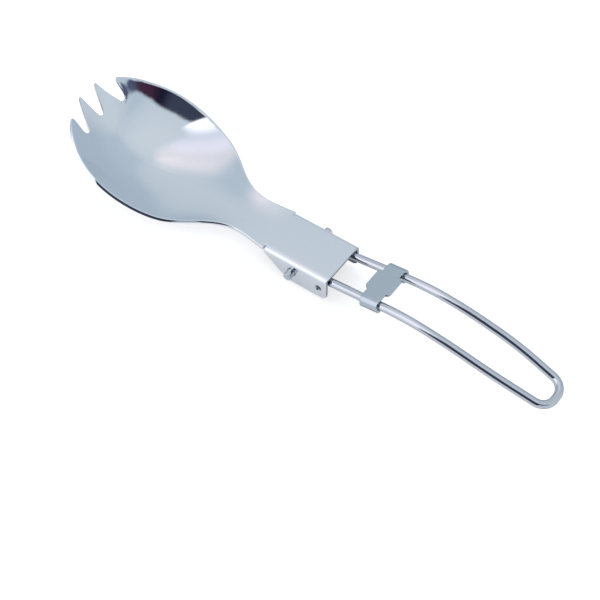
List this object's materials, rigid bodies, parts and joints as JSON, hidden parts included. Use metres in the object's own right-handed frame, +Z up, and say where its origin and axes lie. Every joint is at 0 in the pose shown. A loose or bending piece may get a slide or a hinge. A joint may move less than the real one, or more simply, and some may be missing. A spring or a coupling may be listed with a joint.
{
  "type": "folding camping spork",
  "caption": "Folding metal spork: a dished bowl with notched tines on a channel shank, a bent wire loop handle that folds under the bowl, and a sliding clip on the wires.",
  "frame": {"origin": "middle of the footprint, on the table the open spork lies on", "axes": "+X from the tines towards the handle's loop, +Y across, +Z up out of the bowl"},
  "size_m": [0.1588, 0.041, 0.0154],
  "materials": {
    "head_sheet": "polished stainless steel sheet",
    "handle_wire": "bright drawn stainless steel wire",
    "clip_sheet": "satin stainless steel sheet"
  },
  "bodies": {
    "head": {"spork_head": "head_sheet"},
    "handle": {"wire_handle": "handle_wire"},
    "clip": {"slide_clip": "clip_sheet"}
  },
  "joints": [
    {"name": "handle_fold", "type": "hinge", "parent": "head", "child": "handle", "pos_m": [-0.0011, 0, 0.00478], "axis": [0, 1, 0], "range_deg": [0, 182]},
    {"name": "clip_slide", "type": "slide", "parent": "handle", "child": "clip", "axis": [0.9719, 0, 0.2355], "range_m": [-0.0092, 0.004]}
  ]
}
